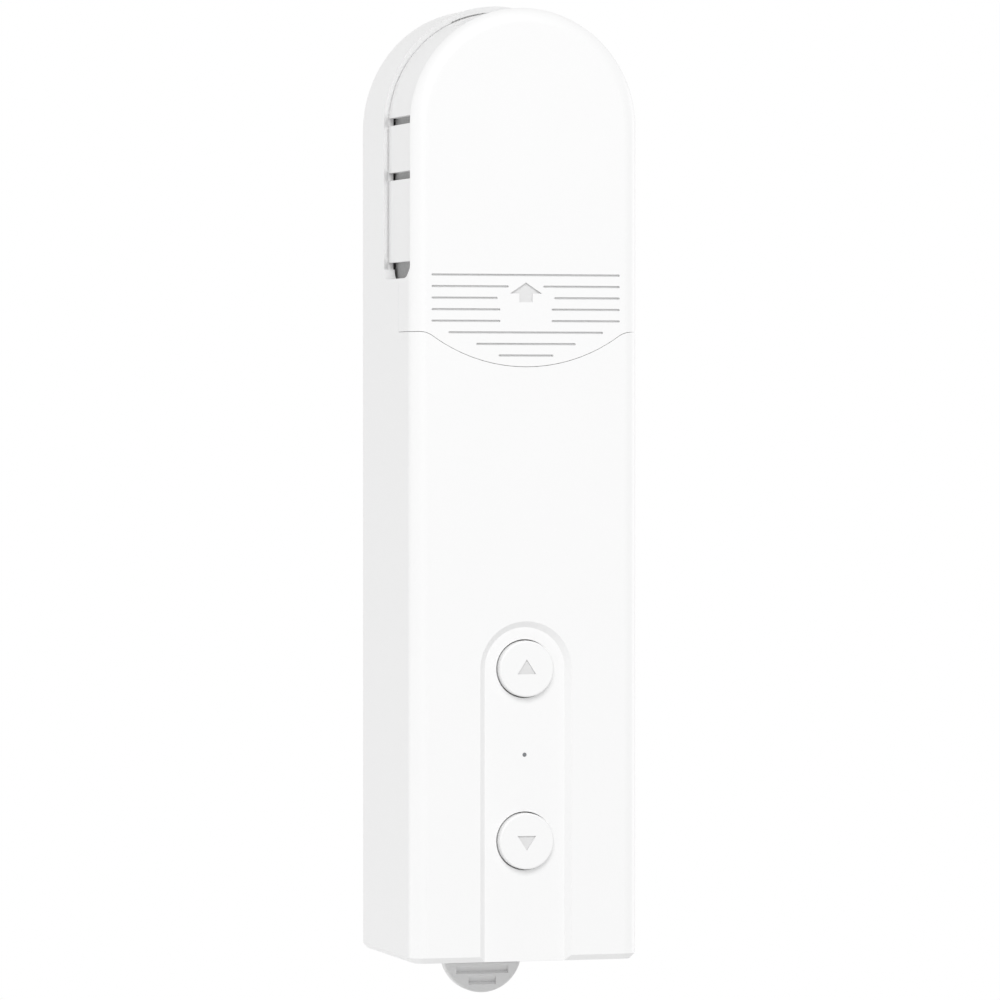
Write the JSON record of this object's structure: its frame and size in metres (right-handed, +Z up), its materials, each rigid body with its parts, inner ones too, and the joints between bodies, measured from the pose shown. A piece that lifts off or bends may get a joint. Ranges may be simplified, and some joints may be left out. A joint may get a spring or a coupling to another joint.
{
  "type": "roller shade motor",
  "caption": "Wall-mounted battery drive for a roller shade's bead chain: long white box with a half-round top, slide-up chain cover and up and down buttons.",
  "frame": {"origin": "on the wall plane, midway between the wall bracket's two screw holes", "axes": "+Z up, +X to the right as seen from the front, +Y from the front face towards the wall"},
  "size_m": [0.0452, 0.0381, 0.193],
  "materials": {
    "white_plastic": "fine satin moulding",
    "tab_grey": "fine satin moulding, light grey",
    "grey_plastic": "glass-filled nylon",
    "black_plastic": "moulded",
    "wheel_nylon": "natural acetal",
    "gear_nylon": "natural acetal",
    "gear_steel": "sintered steel, oiled",
    "steel": "zinc plated",
    "spring_steel": "polished strip",
    "steel_screw": "zinc plated",
    "rotor_steel": "laminated and varnished",
    "bronze": "sintered bronze",
    "zinc": "die cast",
    "nickel": "satin nickel plate",
    "magnet": "sintered magnet",
    "rubber": "soft black rubber",
    "circuit_board": "green solder mask",
    "chip_black": "moulded epoxy",
    "switch_metal": "stamped cover",
    "connector_cream": "nylon",
    "led_white": "clear resin",
    "clear_plastic": "clear acrylic",
    "cell_wrap": "shrink sleeve",
    "lead_red": "silicone insulation"
  },
  "bodies": {
    "base": {"main_housing": "white_plastic", "back_plate": "white_plastic", "inner_frame": "white_plastic", "front_bush": "bronze", "rear_bush": "bronze", "drive_bracket": "grey_plastic", "gear_case": "grey_plastic", "gearbox_cap": "zinc", "output_bush": "bronze", "motor_can": "steel", "motor_bush": "bronze", "motor_magnets": "magnet", "motor_end_cap": "black_plastic", "motor_damper": "rubber", "encoder_board": "circuit_board", "cell_left": "cell_wrap", "cell_right": "cell_wrap", "cell_links": "nickel", "battery_tray": "grey_plastic", "main_board": "circuit_board", "board_screws": "steel_screw", "tact_switches": "switch_metal", "indicator_led": "led_white", "light_pipe": "clear_plastic", "usb_socket": "nickel", "board_chips": "chip_black", "board_connectors": "connector_cream", "motor_leads": "lead_red", "wall_bracket": "white_plastic", "tab_pin": "steel", "tab_spring": "spring_steel", "back_screws": "steel_screw", "drive_screws": "steel_screw", "frame_screws": "steel_screw", "cap_screws": "steel_screw"},
    "cover": {"chain_cover": "white_plastic"},
    "up_key": {"up_button": "white_plastic"},
    "down_key": {"down_button": "white_plastic"},
    "release_lever": {"release_tab": "tab_grey"},
    "chain_drive": {"chain_wheel": "wheel_nylon", "wheel_shaft": "steel", "wheel_screw": "steel_screw", "bevel_gear": "gear_steel"},
    "output_stage": {"output_carrier": "gear_steel", "bevel_pinion": "gear_steel"},
    "input_stage": {"input_carrier": "gear_steel"},
    "rotor": {"rotor_shaft": "steel", "rotor_core": "rotor_steel", "motor_pinion": "bronze", "encoder_magnet": "magnet"},
    "output_planet_gear_1": {"output_planet_1": "gear_nylon"},
    "input_planet_gear_1": {"input_planet_1": "gear_nylon"},
    "output_planet_gear_2": {"output_planet_2": "gear_nylon"},
    "input_planet_gear_2": {"input_planet_2": "gear_nylon"},
    "output_planet_gear_3": {"output_planet_3": "gear_nylon"},
    "input_planet_gear_3": {"input_planet_3": "gear_nylon"}
  },
  "joints": [
    {"name": "rotor_spin", "type": "hinge", "parent": "base", "child": "rotor", "pos_m": [0, -0.017, 0.03], "axis": [0, 0, 1], "continuous": true},
    {"name": "input_stage_spin", "type": "hinge", "parent": "base", "child": "input_stage", "pos_m": [0, -0.017, 0.05], "axis": [0, 0, 1], "continuous": true},
    {"name": "output_stage_spin", "type": "hinge", "parent": "base", "child": "output_stage", "pos_m": [0, -0.017, 0.06], "axis": [0, 0, 1], "continuous": true},
    {"name": "wheel_spin", "type": "hinge", "parent": "base", "child": "chain_drive", "pos_m": [0, -0.017, 0.081], "axis": [0, 1, 0], "continuous": true},
    {"name": "input_planet_1_spin", "type": "hinge", "parent": "input_stage", "child": "input_planet_gear_1", "pos_m": [0.0054, -0.017, 0.045], "axis": [0, 0, 1], "continuous": true},
    {"name": "output_planet_1_spin", "type": "hinge", "parent": "output_stage", "child": "output_planet_gear_1", "pos_m": [0.0054, -0.017, 0.053], "axis": [0, 0, 1], "continuous": true},
    {"name": "input_planet_2_spin", "type": "hinge", "parent": "input_stage", "child": "input_planet_gear_2", "pos_m": [-0.0027, -0.01232, 0.045], "axis": [0, 0, 1], "continuous": true},
    {"name": "output_planet_2_spin", "type": "hinge", "parent": "output_stage", "child": "output_planet_gear_2", "pos_m": [-0.0027, -0.01232, 0.053], "axis": [0, 0, 1], "continuous": true},
    {"name": "input_planet_3_spin", "type": "hinge", "parent": "input_stage", "child": "input_planet_gear_3", "pos_m": [-0.0027, -0.02168, 0.045], "axis": [0, 0, 1], "continuous": true},
    {"name": "output_planet_3_spin", "type": "hinge", "parent": "output_stage", "child": "output_planet_gear_3", "pos_m": [-0.0027, -0.02168, 0.053], "axis": [0, 0, 1], "continuous": true},
    {"name": "cover_slide", "type": "slide", "parent": "base", "child": "cover", "axis": [0, 0, 1], "range_m": [0, 0.072]},
    {"name": "up_press", "type": "slide", "parent": "base", "child": "up_key", "axis": [0, 1, 0], "range_m": [0, 0.0005], "stiffness_N_per_m": 1200, "springref_m": -0.001},
    {"name": "down_press", "type": "slide", "parent": "base", "child": "down_key", "axis": [0, 1, 0], "range_m": [0, 0.0005], "stiffness_N_per_m": 1200, "springref_m": -0.001},
    {"name": "tab_press", "type": "hinge", "parent": "base", "child": "release_lever", "pos_m": [0, -0.0028, -0.043], "axis": [1, 0, 0], "range_deg": [0, 4.5], "stiffness_Nm_per_rad": 0.6, "springref_deg": -2.86}
  ],
  "couplings": [
    {"joint": "input_stage_spin", "follows": "rotor_spin", "ratio": 0.22222},
    {"joint": "output_stage_spin", "follows": "rotor_spin", "ratio": 0.049383},
    {"joint": "wheel_spin", "follows": "rotor_spin", "ratio": 0.032922},
    {"joint": "input_planet_1_spin", "follows": "rotor_spin", "ratio": -0.62222},
    {"joint": "output_planet_1_spin", "follows": "rotor_spin", "ratio": -0.13827},
    {"joint": "input_planet_2_spin", "follows": "rotor_spin", "ratio": -0.62222},
    {"joint": "output_planet_2_spin", "follows": "rotor_spin", "ratio": -0.13827},
    {"joint": "input_planet_3_spin", "follows": "rotor_spin", "ratio": -0.62222},
    {"joint": "output_planet_3_spin", "follows": "rotor_spin", "ratio": -0.13827}
  ]
}
